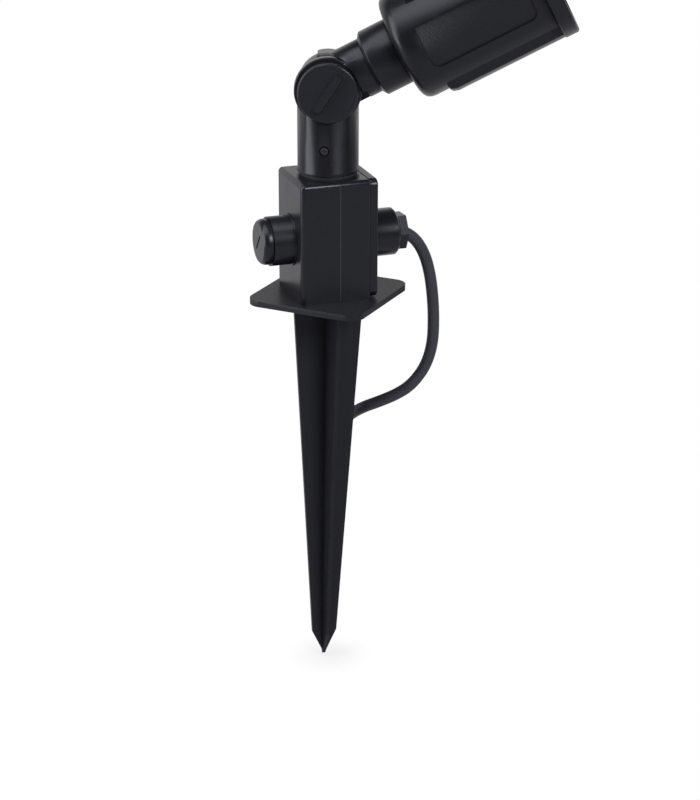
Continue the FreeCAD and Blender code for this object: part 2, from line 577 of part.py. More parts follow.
def head_body():
    """Die-cast housing: rounded shoulder, cylinder, top and bottom rails and a shallow panel on each side."""
    shoulder = [("collar_end", 24), (52.5, 30.5), (53.3, 32.7), (55, 34.8), (57.3, 35.9), (60, "body_radius")]
    outside = shoulder + [("body_end", "body_radius"), ("body_end", "body_radius - body_wall"),
                          ("spreader_place", "body_radius - body_wall"), ("spreader_place", 32.4),
                          ("body_inside + 2", 32.4), ("body_inside", 30), (55.2, 26), (55.2, 17.5),
                          ("collar_end", 17.5)]
    rail_ring = [("rail_start + 0.3", 33.6), ("rail_start + 0.3", 37.8), ("rail_start + 1.5", 39.2),
                 ("rail_start + 5", "rail_radius"), ("body_end", "rail_radius"), ("body_end", 33.6)]
    rails = [common(name, rail_wedge(name + "_wedge", sign), turned(name + "_ring", rail_ring))
             for name, sign in (("top_rail", 1), ("bottom_rail", -1))]
    floor = ring("panel_floor", "rail_radius + 8", "body_radius - panel_depth", "body_end", (0, 0, 0), ALONG_X)
    wells = []
    for name, side in (("left", 10), ("right", -40)):
        raw = block(name + "_panel_raw", "panel_end - panel_start", 30, "2 * panel_half",
                    ("panel_start", side, "-panel_half"))
        soft = rounded(name + "_panel", raw, "panel_corner", is_line_along(Y_AXIS))
        wells.append(common(name + "_well", soft, floor))
    pilots = [cylinder("bezel_pilot_%d" % i, 1.1, 7, ("body_end - 7", y, z), ALONG_X)
              for i, (y, z) in enumerate(bezel_screw_places())]
    blank = fuse("body_blank", turned("body_shell", outside), *rails)
    return cut("head_body", blank, *wells, *pilots)


def rail_wedge(name, sign):
    """A long prism whose two flanks cut a rail out of a ring: narrower above than at its root."""
    root, top = "rail_foot_angle * 1 deg", "rail_top_angle * 1 deg"
    foot_y, foot_z = "body_radius * sin(%s)" % root, "body_radius * cos(%s)" % root
    top_y, top_z = "rail_radius * sin(%s)" % top, "rail_radius * cos(%s)" % top
    lean = "(%s - %s) / (%s - %s)" % (foot_y, top_y, top_z, foot_z)
    low, high = "(%s - 6)" % foot_z, "(%s + 8)" % top_z
    wide, narrow = "(%s + 6 * %s)" % (foot_y, lean), "(%s - 8 * %s)" % (top_y, lean)
    points = [("-1 * " + wide, "%d * %s" % (sign, low)), (wide, "%d * %s" % (sign, low)),
              (narrow, "%d * %s" % (sign, high)), ("-1 * " + narrow, "%d * %s" % (sign, high))]
    return prism(name, "YZ", points, "2 * body_end + 10")


def bezel_screw_places():
    """The four bezel screws, as Y and Z: they bite into the ends of the rails."""
    y, z = "screw_circle * sin(20 deg)", "screw_circle * cos(20 deg)"
    return [(side + y, face + z) for side in ("", "-1 * ") for face in ("", "-1 * ")]


def front_bezel():
    """Clamping ring over the glass, with four counterbored screw holes; in front of the glass it is shallow."""
    profile = [("body_end", "glass_radius + 0.2"), ("body_end", "bezel_radius - 0.6"),
               ("body_end + 0.6", "bezel_radius"), ("bezel_end - 1.2", "bezel_radius"),
               ("bezel_end", "bezel_radius - 1.2"), ("bezel_end", "bezel_opening + 1.6"),
               ("glass_place + glass_thick", "bezel_opening"),
               ("glass_place + glass_thick", "glass_radius + 0.2")]
    ways = []
    for i, (y, z) in enumerate(bezel_screw_places()):
        ways.append(cylinder("bezel_hole_%d" % i, 1.4, 12, ("body_end - 1", y, z), ALONG_X))
        ways.append(cylinder("bezel_sink_%d" % i, 2.6, 4, ("bezel_end - 2.6", y, z), ALONG_X))
    return cut("front_bezel", turned("bezel_turned", profile), *ways)


def heat_plate():
    """Aluminium plate behind the board; it bears on a step in the body and has a hole for the leads."""
    disc = cylinder("plate_disc", "body_radius - body_wall - 0.05", "spreader_thick",
                    ("spreader_place", 0, 0), ALONG_X)
    way = cylinder("plate_way", 4.6, "spreader_thick", ("spreader_place", 0, 19), ALONG_X)
    pilots = [cylinder("plate_pilot_%d" % i, 1.1, 5, ("spreader_place + spreader_thick - 5", y, z), ALONG_X)
              for i, (y, z) in enumerate(BOARD_SCREWS)]
    return cut("heat_plate", disc, way, *pilots)


BOARD_SCREWS = ((20.8, 12.0), (-20.8, 12.0), (0.0, -24.0))


def led_board():
    board = "spreader_place + spreader_thick"
    disc = cylinder("board_disc", 30, "board_thick", (board, 0, 0), ALONG_X)
    holes = [cylinder("board_hole_%d" % i, 1.5, "board_thick", (board, y, z), ALONG_X)
             for i, (y, z) in enumerate(BOARD_SCREWS)]
    return cut("led_board", disc, *holes)


def head_pieces():
    board_front = "spreader_place + spreader_thick + board_thick"
    node(ring("knuckle_seal", 17.0, 13.6, "ear_gap + 0.2", (0, "-ear_gap", 0), ALONG_Y), pivot_frame)
    node(knuckle_neck(), head_frame)
    node(pivot_bolt(), head_frame)
    node(rear_collar(), head_frame)
    node(ring("collar_seal", "collar_radius - 0.4", 17.5, 0.4, ("collar_end - 0.4", 0, 0), ALONG_X), head_frame)
    node(head_body(), head_frame)
    driver = block("driver_case", "driver_length", 36, 24, ("spreader_place - driver_length", -18, -12))
    node(held("driver", driver), head_frame)
    node(heat_plate(), head_frame)
    node(led_board(), head_frame)
    emitter = cylinder("emitter_disc", "emitter_radius", "emitter_thick", (board_front, 0, 0), ALONG_X)
    node(held("led_emitter", emitter), head_frame)
    shape = screw("board_screw", 1.2, 6, 2.4, 1.7)
    places = [(number(board_front), y, z) for y, z in BOARD_SCREWS]
    node(pieces("board_screws", [moved(shape, place, ALONG_X) for place in places]), head_frame)
    base, rim = "(%s + emitter_thick + 0.3)" % board_front, "body_end"
    profile = [(base, 9.8), (base + " + 9", 19.4), (base + " + 20", 26.0), (rim + " - 1.4", 29.4), (rim, 29.4),
               (rim, 33.3), (rim + " - 1.4", 33.3), (rim + " - 1.4", 30.8), (base + " + 19.4", 27.4),
               (base + " + 8.2", 20.6), (base, 11.4)]
    node(turned("reflector", profile), head_frame)
    node(ring("lens_gasket", "glass_radius + 0.1", 30, "glass_place - body_end", ("body_end", 0, 0), ALONG_X),
         head_frame)
    glass = cylinder("glass_disc", "glass_radius", "glass_thick", ("glass_place", 0, 0), ALONG_X)
    node(held("front_glass", glass), head_frame)
    node(front_bezel(), head_frame)
    shape = screw("bezel_screw", 1.25, 13, 2.3, 1.6)
    depth = number("bezel_end") - 2.6
    node(pieces("bezel_screws", [moved(shape, (depth, number(y), number(z)), ALONG_X)
                                 for y, z in bezel_screw_places()]), head_frame)


# ---------------------------------------------------------------- leads and the supply cord

def route(name, points, radius):
    """A round tube along straight runs with a tangent arc at each corner."""
    places = [V(*point) for point in points]
    edges, start, bends = [], places[0], []
    for before, corner, after in zip(places, places[1:], places[2:]):
        back, on = before - corner, after - corner
        reach = 0.45 * min(back.Length, on.Length)
        half = (math.pi - back.getAngle(on)) / 2
        bend = reach / math.tan(half)
        inward = (back.normalize() + on.normalize()).normalize()
        first, last = corner + back * reach, corner + on * reach
        middle = corner + inward * (bend / math.cos(half) - bend)
        edges += [Part.LineSegment(start, first).toShape(), Part.Arc(first, middle, last).toShape()]
        start = last
        bends.append(bend)
    edges.append(Part.LineSegment(start, places[-1]).toShape())
    wire = Part.Wire(edges)
    if bends:
        print("%s: %.0f mm, bend radii %s" % (name, wire.Length, " ".join("%.1f" % bend for bend in bends)))
    return swept(name, wire, places[0], places[1] - places[0], radius)


def swept(name, wire, start, heading, radius):
    """Sweep a circle along a wire and report the solid's volume against section times length."""
    profile = Part.Wire(Part.Circle(start, heading, number(radius)).toShape())
    solid = wire.makePipeShell([profile], True, False)
    ideal = math.pi * number(radius) ** 2 * wire.Length
    print("%s: volume %.3f of section times length" % (name, solid.Volume / ideal))
    return solid


def lead(name, points, radius, frame=None):
    feature = doc.addObject("Part::Feature", name)
    feature.Shape = route(name, points, radius)
    return node(feature, frame)


def coil_point(angle):
    """A point of the coil's centreline, 'angle' degrees round from the front of its first turn."""
    share = (angle - COIL_ENTRY) / (360.0 * COIL_TURNS - COIL_ENTRY)
    turn = math.radians(angle)
    radius = number("turn_radius")
    return V(number("coil_side") * (1 - 2 * share), number("coil_depth") - radius * math.cos(turn),
             number("coil_height") - radius * math.sin(turn))


def coil_heading(angle):
    step = 0.01
    return (coil_point(angle + step) - coil_point(angle - step)).normalize()


def arc_from(start, heading, end):
    """The circular arc that leaves 'start' along 'heading' and reaches 'end'."""
    chord = end - start
    angle = heading.getAngle(chord)
    if angle < 1e-7:
        return Part.LineSegment(start, end).toShape()
    radius = chord.Length / 2 / math.sin(angle)
    toward = (heading - chord * (heading.dot(chord) / chord.dot(chord))).normalize()
    middle = start + chord / 2 + toward * radius * (1 - math.cos(angle))
    return Part.Arc(start, middle, end).toShape()


def biarc(start, leaving, end, arriving):
    """Two arcs that join two points smoothly, with equal reach along both tangents."""
    v = end - start
    t = leaving + arriving
    slack = 2 * (1 - leaving.dot(arriving))
    along = v.dot(t)
    reach = (-along + math.sqrt(along * along + slack * v.dot(v))) / slack
    joint = (start + leaving * reach + end - arriving * reach) / 2
    forward = (joint - start - leaving * reach).normalize()
    return [arc_from(start, leaving, joint), arc_from(joint, forward, end)]


def coil_wire():
    """The coil's centreline: a straight end, turns of tangent arcs and a straight end."""
    steps = 4 * COIL_TURNS - 1
    last = 360.0 * COIL_TURNS
    angles = [COIL_ENTRY + (last - COIL_ENTRY) * i / steps for i in range(steps + 1)]
    straight = 2 * number("cable_radius")
    edges = [Part.LineSegment(coil_start(straight), coil_point(angles[0])).toShape()]
    for first, second in zip(angles, angles[1:]):
        edges += biarc(coil_point(first), coil_heading(first), coil_point(second), coil_heading(second))
    end = coil_point(last)
    edges.append(Part.LineSegment(end, end + coil_heading(last) * straight).toShape())
    return Part.Wire(edges)


def coil_start(back):
    return coil_point(COIL_ENTRY) - coil_heading(COIL_ENTRY) * back


def coil_end(on):
    last = 360.0 * COIL_TURNS
    return coil_point(last) + coil_heading(last) * on


def own_gap(wire):
    """The least gap between turns of the coil that lie at least half a turn apart along it."""
    points = wire.discretize(Number=600)
    step = wire.Length / (len(points) - 1)
    apart = int(math.pi * number("turn_radius") / step)
    nearest = min((a - b).Length for i, a in enumerate(points) for b in points[i + apart:])
    return nearest - 2 * number("cable_radius")


def cable_coil():
    wire = coil_wire()
    start = coil_start(2 * number("cable_radius"))
    print("cable_coil: %.0f mm, own gap %.2f mm" % (wire.Length, own_gap(wire)))
    feature = doc.addObject("Part::Feature", "cable_coil")
    feature.Shape = swept("cable_coil", wire, start, coil_heading(COIL_ENTRY), "cable_radius")
    return feature


def cable_tie():
    """A flat band round the three turns at the top of the coil, with its head above."""
    share = number("coil_side") * 2 / (COIL_TURNS - COIL_ENTRY / 360.0)
    centre = coil_point(630.0)
    inside, thick, wide = number("cable_radius") + 0.15, 1.1, 3.6

    def loop(radius, width):
        box = Part.makeBox(2 * share, width, 2 * radius, V(-share, -width / 2, -radius))
        ends = [Part.makeCylinder(radius, width, V(x, -width / 2, 0), Y_AXIS) for x in (-share, share)]
        return box.fuse(ends).removeSplitter()

    band = loop(inside + thick, wide).cut(loop(inside, wide + 1))
    head = Part.makeBox(6, 5, 3.4, V(-3, -2.5, inside + thick - 0.4))
    return pieces("cable_tie", [moved(band.fuse(head).removeSplitter(), centre)])


def cord_pieces():
    """The supply cord: out of the gland, down and back behind the spike, into a tied coil."""
    port, radius = number("gland_height"), number("cable_radius")
    seen = [(41.5, 0, port), (50.5, 0, port), (60.3, 0, 35.2), (67.3, 0, 24.8), (71.8, 0, 11), (74.4, 0, -6),
            (75.6, 0, -24.5), (75, 0, -43), (70, 0, -58.5), (60, 0, -70.5)]
    behind = [V(47, 19, -77), V(35, 20, -82.8), V(23.8, 24, -88.6), V(16.6, 30.6, -95.4)]
    behind += [coil_start(2 * radius + 10), coil_start(2 * radius)]
    points = seen + [tuple(stem_frame.multVec(point)) for point in behind]
    lead("supply_cable", points, "cable_radius")
    node(cable_coil(), stem_frame)
    tail = [coil_end(2 * radius), coil_end(2 * radius + 12), coil_end(2 * radius + 26) + V(3.5, 0, 0),
            coil_end(2 * radius + 42) + V(9.5, 0, 0)]
    lead("cable_tail", tail, "cable_radius", stem_frame)
    node(cable_tie(), stem_frame)
    down = (tail[-1] - tail[-2]).normalize()
    tips = []
    for name, side in (("core_brown", V(-1, 0, 0)), ("core_blue", V(1, 0, 0)), ("core_earth", V(0, 1, 0))):
        side = (side - down * side.dot(down)).normalize()
        start = tail[-1] + side * 2.1
        knee = start + down * 9
        tip = knee + (down * 9 + side * 2.2)
        lead(name, [start, knee, tip, tip + down * 9], 1.15, stem_frame)
        tips.append(tip + down * 9)
    sleeves = []
    for tip in tips:
        sleeves.append(Part.makeCylinder(1.5, 5, tip, down))
    node(pieces("core_ferrules", sleeves), stem_frame)


def inner_leads():
    """Wiring inside the box, through the stem and into the head."""
    port = number("gland_height")
    lead("cable_inner_end", [(number("cord_start"), 0, port), (14, 0, port)], "cable_radius")
    way_y = number("box_half - box_wall - 8")
    cores, lamp_cores = [], []
    for i, pole in enumerate(POLES):
        level = port + 2.5 * (1 - i)
        cores.append(route("inner_core", [(14, 0, level), (pole + 3.5, 0, level), (pole, 2, 22), (pole, 10, 14.6),
                                          (pole, way_y, 19), (pole, way_y, 30)], 1.15))
        lamp_cores.append(route("lamp_core", [(1.2 * (i - 1), 8, 52), (1.2 * (i - 1), 8, 50.4), (pole, 13, 46),
                                              (pole, way_y, 42), (pole, way_y, 33)], 0.6))
    node(pieces("inner_cores", cores))
    node(pieces("lamp_cores", lamp_cores))
    lead("lamp_lead", [(0, 0, 104), (0, 0, 72), (0, 8, 60), (0, 8, 52)], "lead_radius")
    ring_height = number("pivot_height - wire_ring")
    lead("stem_lead", [(0, 0, 104), (0, 0, 108), (0, -5, 115), (0, -5, ring_height), (0, 0, ring_height)],
         "lead_radius", stem_frame)
    tilt_back = head_frame.inverse().multiply(stem_frame)
    start = tilt_back.multVec(V(0, 0, ring_height))
    deep = start + V(0, 4.2, 0)
    driver_back = number("spreader_place - driver_length")
    lead("head_lead", [start, deep, (5.5, 4.2, -8.2), (10.5, 4.2, -1.0), (20, 4.2, 0), (42, 0.6, 0),
                       (driver_back, 0, 0)], "lead_radius", head_frame)
    top, plate = 12, number("spreader_place")
    leads = [route("driver_lead", [(plate - 12, side, top), (plate - 12, side, 19), (plate + 6, side, 19)], 0.9)
             for side in (-2.2, 2.2)]
    node(pieces("driver_leads", leads), head_frame)


# ---------------------------------------------------------------- build, check and write

def export():
    doc.recompute()
    for item in doc.Objects:
        if "Invalid" in item.State or "Error" in item.State:
            raise RuntimeError("%s did not build" % item.Name)
    os.makedirs("parts", exist_ok=True)
    for item in nodes:
        shape = item.Shape
        if shape.isNull() or not shape.isValid() or not shape.Solids:
            raise RuntimeError("%s has no valid solid" % item.Label)
        print("%-18s solids %d volume %.0f" % (item.Label, len(shape.Solids), shape.Volume))
        shape.exportStep("parts/%s.step" % item.Label)


base_pieces()
stem_pieces()
head_pieces()
inner_leads()
cord_pieces()
export()
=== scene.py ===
# %% [markdown]
# # Garden spike spotlight
#
# A black plastic spotlight on a ground spike. Its solids come packed from CAD, in real size, and stand in
# one frame: metres, +Z up, with the origin on the stem's axis at soil level. This script dresses them: it
# gives each piece its finish and replaces the plain supply cord with a smooth one.

# %% The imported model
import math

import bmesh
import bpy
from mathutils import Matrix, Vector


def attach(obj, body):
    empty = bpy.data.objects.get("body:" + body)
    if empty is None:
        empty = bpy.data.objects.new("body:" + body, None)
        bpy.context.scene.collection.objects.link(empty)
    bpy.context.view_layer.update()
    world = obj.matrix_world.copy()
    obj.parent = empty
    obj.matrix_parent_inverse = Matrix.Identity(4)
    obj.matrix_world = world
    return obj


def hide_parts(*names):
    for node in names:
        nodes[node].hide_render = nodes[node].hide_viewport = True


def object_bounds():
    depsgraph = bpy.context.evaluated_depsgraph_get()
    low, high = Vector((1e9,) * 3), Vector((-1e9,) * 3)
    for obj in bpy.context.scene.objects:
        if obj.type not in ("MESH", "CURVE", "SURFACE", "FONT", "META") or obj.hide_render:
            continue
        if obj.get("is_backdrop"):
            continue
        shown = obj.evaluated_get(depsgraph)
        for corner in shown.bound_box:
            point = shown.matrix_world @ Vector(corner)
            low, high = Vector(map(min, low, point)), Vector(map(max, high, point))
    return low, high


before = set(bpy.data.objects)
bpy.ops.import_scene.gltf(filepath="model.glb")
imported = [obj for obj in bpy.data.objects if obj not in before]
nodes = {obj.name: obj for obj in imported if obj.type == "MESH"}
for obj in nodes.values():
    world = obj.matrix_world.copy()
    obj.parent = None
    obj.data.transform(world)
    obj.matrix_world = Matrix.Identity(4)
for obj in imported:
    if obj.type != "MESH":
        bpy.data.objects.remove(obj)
cad_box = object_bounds()
MM = 0.001

# %% [markdown]
# ## The camera
#
# The photograph was taken from the front left and a little above, from about a metre and a half. A camera
# fit on the plate's corners, the box and the stem gave its place, its three angles and its focal length.
# The camera's own axes are built from those angles as vectors, so that no angle convention gets in the way.

# %% Camera
IMAGE_HEIGHT = 800.0
FOCAL_PIXELS = 2372.41
SENSOR = 36.0
EYE = Vector((-0.475909, -1.420695, 0.506598))
HEADING = 0.3330223           # from +Y towards +X, in radians
LOOK_DOWN = 0.3698430
ROLL = 0.00229448


def camera_axes(heading, down, roll):
    """The camera's right, up and forward directions."""
    ahead = Vector((math.sin(heading) * math.cos(down), math.cos(heading) * math.cos(down), -math.sin(down)))
    level = Vector((math.cos(heading), -math.sin(heading), 0.0))
    upright = level.cross(ahead)
    right = level * math.cos(roll) + upright * math.sin(roll)
    up = upright * math.cos(roll) - level * math.sin(roll)
    return right, up, ahead


def place_camera():
    lens = bpy.data.cameras.new("camera")
    lens.sensor_fit = "AUTO"
    lens.sensor_width = SENSOR
    lens.lens = FOCAL_PIXELS * SENSOR / IMAGE_HEIGHT
    lens.clip_end = 50.0
    camera = bpy.data.objects.new("camera", lens)
    bpy.context.scene.collection.objects.link(camera)
    right, up, ahead = camera_axes(HEADING, LOOK_DOWN, ROLL)
    turn = Matrix((right, up, -ahead)).transposed()
    camera.matrix_world = Matrix.Translation(EYE) @ turn.to_4x4()
    bpy.context.scene.camera = camera
    return camera


camera = place_camera()
RIGHT, UP, AHEAD = camera_axes(HEADING, LOOK_DOWN, ROLL)
print("lens %.1f mm" % camera.data.lens)

# %% [markdown]
# ## The supply cord
#
# A round rubber cord leaves the gland, bends down close to it and runs behind the spike, where the
# photograph loses it. The rest of its metre is wound into a small tied coil that the spike hides, and its end
# is stripped to three cores. It is one NURBS spline: the route's points are its control points, and a
# quadratic spline rounds every corner by itself, as the cord does. In the coil the same spline gets sixteen
# points a turn, set a little outside the real turn because the spline cuts inside them.
#
# A curve's box reaches past each control point by that point's own radius, which is a metre unless it is set.
# So the cord's radius goes on its points, and the bevel that they scale is 1: the tube is the same, and the
# box is the cord's own.

# %% The cord's route
CORD_RADIUS = 4.0 * MM
SWIVEL = math.radians(-19.1)
GLAND = 41.0
COIL_RADIUS = 42.0
COIL_DEPTH = 75.0
COIL_HEIGHT = -74.0
COIL_SIDE = 12.6
COIL_FIRST = 60.0
COIL_LAST = 1080.0
POINTS_PER_TURN = 16


def swivelled(x, y, z):
    """A point of the frame that is turned about Z with the stem, brought into the model's own frame."""
    return Vector((x * math.cos(SWIVEL) - y * math.sin(SWIVEL), x * math.sin(SWIVEL) + y * math.cos(SWIVEL), z))


def coil_point(angle, radius):
    """A point of the coil, 'angle' degrees from the front of its first turn."""
    share = (angle - COIL_FIRST) / (COIL_LAST - COIL_FIRST)
    turn = math.radians(angle)
    return swivelled(COIL_SIDE * (1 - 2 * share), COIL_DEPTH - radius * math.cos(turn),
                     COIL_HEIGHT - radius * math.sin(turn))


def coil_run(angle, distance):
    """The point 'distance' along the coil's tangent at an angle."""
    step = 0.01
    heading = (coil_point(angle + step, COIL_RADIUS) - coil_point(angle - step, COIL_RADIUS)).normalized()
    return coil_point(angle, COIL_RADIUS) + heading * distance


def cord_points():
    seen = [(41.5, 0, GLAND), (50.5, 0, GLAND), (60.3, 0, 35.2), (67.3, 0, 24.8), (71.8, 0, 11), (74.4, 0, -6),
            (75.6, 0, -24.5), (75, 0, -43), (70, 0, -58.5), (60, 0, -70.5)]
    behind = [(47, 19, -77), (35, 20, -82.8), (23.8, 24, -88.6), (16.6, 30.6, -95.4)]
    step = 360.0 / POINTS_PER_TURN
    outside = COIL_RADIUS / (0.5 + 0.5 * math.cos(math.pi / POINTS_PER_TURN))
    turns = int((COIL_LAST - COIL_FIRST) / step)
    points = [Vector(point) for point in seen] + [swivelled(*point) for point in behind]
    points += [coil_run(COIL_FIRST, -18.0), coil_run(COIL_FIRST, -8.0)]
    points += [coil_point(COIL_FIRST + step * (i + 0.5), outside) for i in range(turns)]
    tail = [coil_run(COIL_LAST, distance) + swivelled(aside, 0.0, 0.0)
            for distance, aside in ((0.0, 0.0), (8.0, 0.0), (20.0, 0.0), (34.0, 3.5), (50.0, 9.5))]
    return [point * MM for point in points + tail]


def spline_object(name, points, radius, sides=8):
    """A round tube along one quadratic NURBS spline."""
    curve = bpy.data.curves.new(name, "CURVE")
    curve.dimensions = "3D"
    spline = curve.splines.new("NURBS")
    spline.points.add(len(points) - 1)
    for control, point in zip(spline.points, points):
        control.co = (*point, 1.0)
        control.radius = radius
    spline.order_u = 3
    spline.use_endpoint_u = True
    spline.resolution_u = 10
    curve.bevel_depth = 1.0
    curve.bevel_resolution = sides
    curve.use_fill_caps = True
    made = bpy.data.objects.new(name, curve)
    bpy.context.scene.collection.objects.link(made)
    return made


route = cord_points()
cord = spline_object("supply_cord", route, CORD_RADIUS)
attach(cord, "base")
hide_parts("supply_cable", "cable_coil", "cable_tail")
print("cord control points:", len(route))

# %% [markdown]
# ## Shader maths
#
# A finish is a small tree of shader nodes. Two helper classes keep the trees readable: *Value* wraps one
# output socket, and its arithmetic adds Math nodes, and *Finish* owns a material and adds any other node.

# %% Two helpers for materials
class Value:
    """One output of a shader node, on which arithmetic works."""

    def __init__(self, finish, socket):
        self.finish = finish
        self.socket = socket

    def __add__(self, other):
        return self.finish.maths("ADD", self, other)

    def __sub__(self, other):
        return self.finish.maths("SUBTRACT", self, other)

    def __rsub__(self, other):
        return self.finish.maths("SUBTRACT", other, self)

    def __mul__(self, other):
        return self.finish.maths("MULTIPLY", self, other)

    __radd__ = __add__
    __rmul__ = __mul__


class Finish:
    """A material with one Principled shader, and the methods that add nodes to it."""

    def __init__(self, name, **plain):
        self.material = bpy.data.materials.new(name)
        self.material.use_nodes = True
        self.tree = self.material.node_tree
        self.shader = self.tree.nodes["Principled BSDF"]
        self.set(**plain)

    def add(self, kind, inputs, output=0, **settings):
        """A node of that kind: its settings first, then its sockets' values or links."""
        node = self.tree.nodes.new(kind)
        for name, value in settings.items():
            setattr(node, name, value)
        for name, value in inputs.items():
            self.join(value, node.inputs[name])
        return Value(self, node.outputs[output])

    def join(self, value, socket):
        if isinstance(value, Value):
            self.tree.links.new(value.socket, socket)
        else:
            socket.default_value = value

    def maths(self, operation, first, second):
        return self.add("ShaderNodeMath", {0: first, 1: second}, operation=operation)

    def set(self, **sockets):
        """Values or links for the shader; a name's underscores stand for spaces."""
        for name, value in sockets.items():
            self.join(value, self.shader.inputs[name.replace("_", " ")])
        return self

    def place(self):
        """Where a point is on the piece, in metres; it moves with the piece."""
        return self.add("ShaderNodeTexCoord", {}, output=3)

    def clouds(self, size, detail=3.0, place=None):
        """Soft noise of about that grain size in metres, from 0 to 1."""
        where = {"Vector": place or self.place(), "Scale": 1.0 / size, "Detail": detail}
        return self.add("ShaderNodeTexNoise", where)

    def between(self, share, low, high):
        """A colour between two, by share."""
        return self.add("ShaderNodeMix", {0: share, 6: (*low, 1.0), 7: (*high, 1.0)}, output=2, data_type="RGBA")

    def bump(self, height, distance, strength=1.0, under=None):
        inputs = {"Height": height, "Distance": distance, "Strength": strength}
        if under:
            inputs["Normal"] = under
        return self.add("ShaderNodeBump", inputs)


# %% [markdown]
# ## Black plastics
#
# Nearly everything here is moulded in black, yet no two parts look the same: the box is satin with a fine
# spark-eroded grain, the spike is a duller nylon with faint flow streaks, and the knuckle is a little
# glossier. Black shows its shape by reflections alone, so roughness and grain matter more than colour.

# %% Moulded plastic
COOL = (0.86, 0.88, 1.0, 1.0)     # black mouldings mirror the light a little blue
BLUE_BLACK = (0.9, 0.92, 1.25)
SHINE = 0.26                      # a duller surface than clean plastic, which is 0.5
# Painted highlight: the seam's colour, paler than the box, stands in for light on its raised line.
SEAM_PAINTED_HIGHLIGHT = (0.035, 0.036, 0.042, 1.0)
SEAM_RELIEF = 0.12 * MM


def tone(level):
    """A bluish black of that level."""
    return tuple(level * share for share in BLUE_BLACK)


def moulded(name, level, roughness, grain=0.5 * MM, depth=0.012 * MM, smudges=18 * MM, seam=None):
    """Moulded plastic: patchy tone and gloss, a fine grain, and a raised line where a seam is 1, painted paler as a
    highlight on its ridge.
    """
    finish = Finish(name, Specular_Tint=COOL)
    patches = finish.clouds(smudges, 4.0)
    speckle = finish.clouds(grain, 2.0)
    colour = finish.between(patches, tone(level * 0.8), tone(level * 1.2))
    relief = finish.bump(speckle, depth)
    if seam:
        line = seam(finish)
        # painted highlight: the seam's raised line is coloured paler than the plastic round it
        colour = finish.add("ShaderNodeMix", {0: line, 6: colour, 7: SEAM_PAINTED_HIGHLIGHT}, output=2, data_type="RGBA")
        relief = finish.bump(line, SEAM_RELIEF, under=relief)
    finish.set(Base_Color=colour, Roughness=patches * 0.12 + speckle * 0.06 + (roughness - 0.09),
               Specular_IOR_Level=SHINE, Normal=relief)
    return finish


def within(finish, coordinate, half, edge):
    """1 where a coordinate is nearer to zero than 'half', fading over the edge."""
    size = finish.maths("ABSOLUTE", coordinate, 0.0)
    return finish.add("ShaderNodeMapRange", {0: size, 1: half - edge, 2: half + edge, 3: 1.0, 4: 0.0})


LINE_HALF, LINE_EDGE = 0.20 * MM, 0.12 * MM
FRONT_FACE, FRONT_SKIN = -25.4 * MM, -25.2 * MM


def witness_line(finish):
    """The upright line in the middle of the box's front, where the mould's halves met."""
    parts = finish.add("ShaderNodeSeparateXYZ", {0: finish.place()})
    across = within(finish, parts, LINE_HALF, LINE_EDGE)
    depth = Value(finish, parts.socket.node.outputs[1])
    front = finish.add("ShaderNodeMapRange", {0: depth, 1: FRONT_FACE, 2: FRONT_SKIN, 3: 1.0, 4: 0.0})
    return across * front


box_finish = moulded("box_plastic", 0.007, 0.30, seam=witness_line)
stem_finish = moulded("stem_plastic", 0.006, 0.29, grain=0.35 * MM, depth=0.006 * MM)
knob_finish = moulded("knob_plastic", 0.008, 0.34, grain=0.4 * MM, smudges=7 * MM)
head_finish = moulded("head_plastic", 0.006, 0.30)
print("black plastics:", box_finish.material.name, stem_finish.material.name, head_finish.material.name)

# %% Spike nylon
def spike_nylon():
    """Duller than the box, with faint streaks down its length where the nylon flowed."""
    finish = Finish("spike_plastic", Specular_Tint=COOL)
    stretched = finish.add("ShaderNodeMapping", {"Vector": finish.place(), "Scale": (1.0, 1.0, 0.06)})
    streaks = finish.clouds(2.5 * MM, 4.0, place=stretched)
    speckle = finish.clouds(0.6 * MM, 2.0)
    finish.set(
        Base_Color=finish.between(streaks, tone(0.005), tone(0.009)),
        Roughness=streaks * 0.14 + speckle * 0.08 + 0.32,
        Specular_IOR_Level=0.24,
        Normal=finish.bump(speckle * 0.6 + streaks * 0.4, 0.02 * MM),
    )
    return finish


spike_finish = spike_nylon()

# %% [markdown]
# ## The head's textured side panels
#
# A shallow panel on each side of the head has a coarse spark texture, like leather grain, and the wall
# around it is smooth. Both are one moulding, so one material does both: a mask is 1 inside the panel's
# outline, in the head's own axes, and the grain's depth and roughness follow it.

# %% Head plastic with its panels
HEAD_TILT = math.radians(27.4)
PIVOT_HEIGHT = 142.7 * MM
PANEL_MIDDLE = 105.4 * MM
PANEL_HALF_LENGTH = 36.6 * MM
PANEL_HALF_HEIGHT = 14.8 * MM
PANEL_EDGE = 0.4 * MM


def head_axes():
    """The head's frame: X along its axis from the pivot, Z up across it."""
    turn = Matrix.Rotation(SWIVEL, 4, "Z") @ Matrix.Translation((0, 0, PIVOT_HEIGHT))
    return turn @ Matrix.Rotation(-HEAD_TILT, 4, "Y")


def along(finish, direction):
    """The place's coordinate along a direction of the head's frame, in metres."""
    axis = head_axes().to_3x3() @ Vector(direction)
    dot = finish.add("ShaderNodeVectorMath", {0: finish.place(), 1: tuple(axis)}, output=1, operation="DOT_PRODUCT")
    return dot - axis.dot(head_axes().translation)


